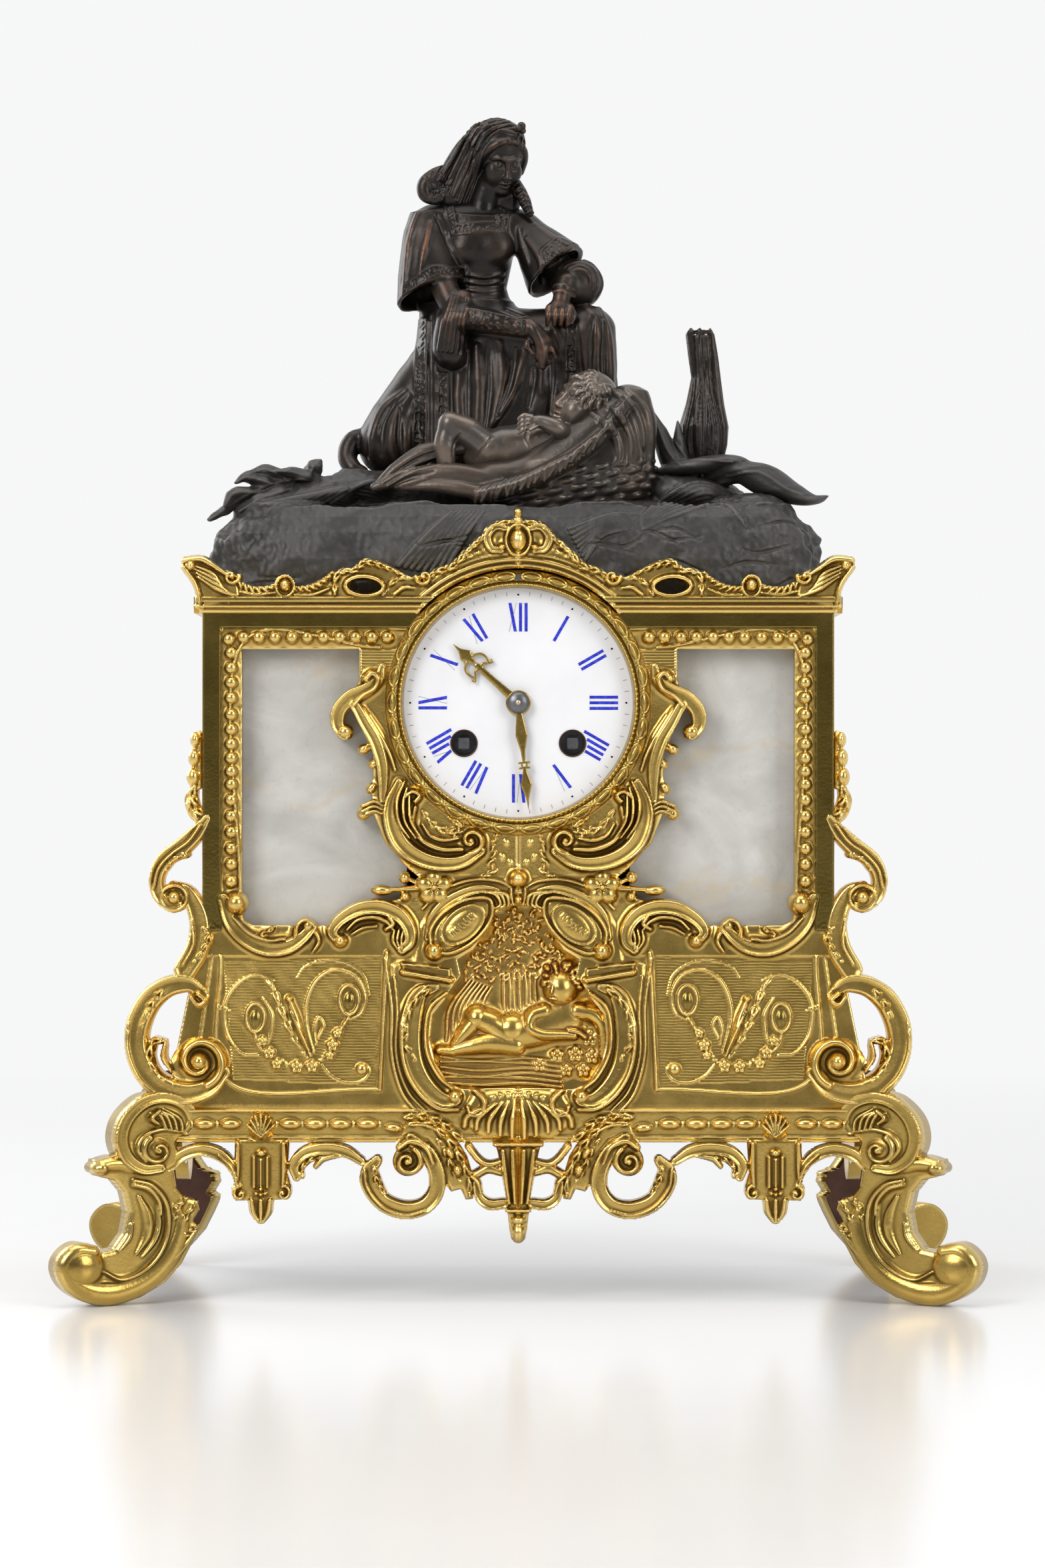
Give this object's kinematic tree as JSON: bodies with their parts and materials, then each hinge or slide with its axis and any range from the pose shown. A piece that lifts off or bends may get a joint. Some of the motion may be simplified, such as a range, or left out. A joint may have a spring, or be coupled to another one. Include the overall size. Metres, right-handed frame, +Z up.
{
  "type": "figural mantel clock",
  "caption": "Mantel clock with a gilt scroll case, alabaster panels, an enamel dial and a dark bronze kneeling figure with an infant; striking movement and pendulum inside.",
  "frame": {"origin": "on the table, under the middle of the box round the clock", "axes": "+Z up, the dial faces -Y, +X to the right as the dial is read"},
  "size_m": [0.3488, 0.168, 0.4533],
  "materials": {
    "gilt_bronze": "bright fire gilding, darker in the recesses",
    "dark_bronze": "dark brown patina, rubbed to copper on the high places",
    "alabaster": "polished, cloudy grey-white",
    "enamel": "glossy white enamel with blue figures",
    "steel": "plain steel",
    "movement_brass": "polished brass",
    "bell_metal": "turned bell metal",
    "brown_metal": "unfinished brown"
  },
  "bodies": {
    "case": {"back_movement_plate": "movement_brass", "back_panel": "brown_metal", "basket": "dark_bronze", "bell": "bell_metal", "bell_stand": "movement_brass", "broad_leaf": "dark_bronze", "case_screws": "steel", "deck_plate": "gilt_bronze", "dial_bezel": "gilt_bronze", "enamel_dial": "enamel", "floor_plate": "brown_metal", "flower_bud": "dark_bronze", "front_apron": "gilt_bronze", "front_casting": "gilt_bronze", "front_left_foot": "gilt_bronze", "front_movement_plate": "movement_brass", "front_right_foot": "gilt_bronze", "gallery": "gilt_bronze", "infant": "dark_bronze", "kneeling_figure": "dark_bronze", "leaf_spray": "dark_bronze", "left_apron": "gilt_bronze", "left_bracket": "gilt_bronze", "left_side_plate": "gilt_bronze", "left_stone_panel": "alabaster", "movement_pillars": "movement_brass", "movement_straps": "steel", "rear_bezel": "movement_brass", "rear_left_foot": "gilt_bronze", "rear_right_foot": "gilt_bronze", "relief_plaque": "gilt_bronze", "right_apron": "gilt_bronze", "right_bracket": "gilt_bronze", "right_side_plate": "gilt_bronze", "right_stone_panel": "alabaster", "rock_base": "dark_bronze", "suspension_bracket": "movement_brass"},
    "centre_wheel": {"centre_wheel": "movement_brass"},
    "minute_hand": {"minute_hand": "gilt_bronze", "cannon_pinion": "movement_brass"},
    "minute_wheel": {"minute_wheel": "movement_brass"},
    "hour_hand": {"hour_hand": "gilt_bronze", "hour_wheel": "movement_brass"},
    "second_wheel": {"second_wheel": "movement_brass"},
    "going_barrel": {"going_barrel": "movement_brass"},
    "third_wheel": {"third_wheel": "movement_brass"},
    "escape_wheel": {"escape_wheel": "movement_brass"},
    "anchor": {"anchor": "steel"},
    "pendulum": {"pendulum_rod": "steel", "pendulum_bob": "movement_brass"},
    "pin_wheel": {"pin_wheel": "movement_brass", "count_wheel": "movement_brass"},
    "strike_barrel": {"strike_barrel": "movement_brass"},
    "warning_wheel": {"warning_wheel": "movement_brass"},
    "fly": {"fly": "movement_brass"},
    "hammer": {"hammer": "steel"},
    "going_winding_arbor": {"going_winding_arbor": "steel"},
    "strike_winding_arbor": {"strike_winding_arbor": "steel"},
    "regulator": {"regulator_arbor": "steel"},
    "rear_door": {"rear_door": "movement_brass"}
  },
  "joints": [
    {"name": "centre_wheel_turn", "type": "hinge", "parent": "case", "child": "centre_wheel", "pos_m": [0, -0.017, 0.2235], "axis": [0, 1, 0], "continuous": true},
    {"name": "minute_hand_turn", "type": "hinge", "parent": "case", "child": "minute_hand", "pos_m": [0, -0.052, 0.2235], "axis": [0, 1, 0], "continuous": true},
    {"name": "minute_wheel_turn", "type": "hinge", "parent": "case", "child": "minute_wheel", "pos_m": [0, -0.042, 0.2103], "axis": [0, 1, 0], "continuous": true},
    {"name": "hour_hand_turn", "type": "hinge", "parent": "case", "child": "hour_hand", "pos_m": [0, -0.05, 0.2235], "axis": [0, 1, 0], "continuous": true},
    {"name": "second_wheel_turn", "type": "hinge", "parent": "case", "child": "second_wheel", "pos_m": [0.0132, -0.017, 0.22951], "axis": [0, 1, 0], "continuous": true},
    {"name": "going_barrel_turn", "type": "hinge", "parent": "case", "child": "going_barrel", "pos_m": [0.0204, -0.017, 0.2083], "axis": [0, 1, 0], "continuous": true},
    {"name": "third_wheel_turn", "type": "hinge", "parent": "case", "child": "third_wheel", "pos_m": [-0.00126, -0.017, 0.23785], "axis": [0, 1, 0], "continuous": true},
    {"name": "escape_wheel_turn", "type": "hinge", "parent": "case", "child": "escape_wheel", "pos_m": [0, -0.017, 0.24988], "axis": [0, 1, 0], "continuous": true},
    {"name": "pendulum_swing", "type": "hinge", "parent": "case", "child": "pendulum", "pos_m": [0, 0.01, 0.26053], "axis": [0, 1, 0], "range_deg": [-3, 3]},
    {"name": "anchor_swing", "type": "hinge", "parent": "case", "child": "anchor", "pos_m": [0, -0.01, 0.26053], "axis": [0, 1, 0], "range_deg": [-3, 3]},
    {"name": "pin_wheel_turn", "type": "hinge", "parent": "case", "child": "pin_wheel", "pos_m": [-0.02196, -0.017, 0.23064], "axis": [0, 1, 0], "continuous": true},
    {"name": "strike_barrel_turn", "type": "hinge", "parent": "case", "child": "strike_barrel", "pos_m": [-0.0204, -0.017, 0.2083], "axis": [0, 1, 0], "continuous": true},
    {"name": "warning_wheel_turn", "type": "hinge", "parent": "case", "child": "warning_wheel", "pos_m": [-0.01384, -0.017, 0.24105], "axis": [0, 1, 0], "continuous": true},
    {"name": "fly_turn", "type": "hinge", "parent": "case", "child": "fly", "pos_m": [-0.01155, -0.017, 0.25181], "axis": [0, 1, 0], "continuous": true},
    {"name": "hammer_swing", "type": "hinge", "parent": "case", "child": "hammer", "pos_m": [-0.03203, 0.02, 0.24557], "axis": [0, 1, 0], "range_deg": [-3.4, 10], "stiffness_Nm_per_rad": 0.05},
    {"name": "going_winding_turn", "type": "hinge", "parent": "case", "child": "going_winding_arbor", "pos_m": [0.0204, -0.045, 0.2083], "axis": [0, 1, 0], "continuous": true},
    {"name": "strike_winding_turn", "type": "hinge", "parent": "case", "child": "strike_winding_arbor", "pos_m": [-0.0204, -0.045, 0.2083], "axis": [0, 1, 0], "continuous": true},
    {"name": "regulator_turn", "type": "hinge", "parent": "case", "child": "regulator", "pos_m": [0, -0.05, 0.2704], "axis": [0, 1, 0], "continuous": true},
    {"name": "rear_door_hinge", "type": "hinge", "parent": "case", "child": "rear_door", "pos_m": [0.034, 0.0658, 0.2235], "axis": [0, 0, -1], "range_deg": [0, 110]}
  ],
  "couplings": [
    {"joint": "minute_hand_turn", "follows": "centre_wheel_turn", "ratio": 1},
    {"joint": "minute_wheel_turn", "follows": "centre_wheel_turn", "ratio": -0.33333},
    {"joint": "hour_hand_turn", "follows": "centre_wheel_turn", "ratio": 0.083333},
    {"joint": "second_wheel_turn", "follows": "centre_wheel_turn", "ratio": -0.20833},
    {"joint": "going_barrel_turn", "follows": "centre_wheel_turn", "ratio": 0.034722},
    {"joint": "third_wheel_turn", "follows": "centre_wheel_turn", "ratio": -5},
    {"joint": "escape_wheel_turn", "follows": "centre_wheel_turn", "ratio": 22.5},
    {"joint": "anchor_swing", "follows": "pendulum_swing", "ratio": 1},
    {"joint": "strike_barrel_turn", "follows": "pin_wheel_turn", "ratio": -0.16667},
    {"joint": "warning_wheel_turn", "follows": "pin_wheel_turn", "ratio": -5},
    {"joint": "fly_turn", "follows": "pin_wheel_turn", "ratio": 22.5}
  ]
}
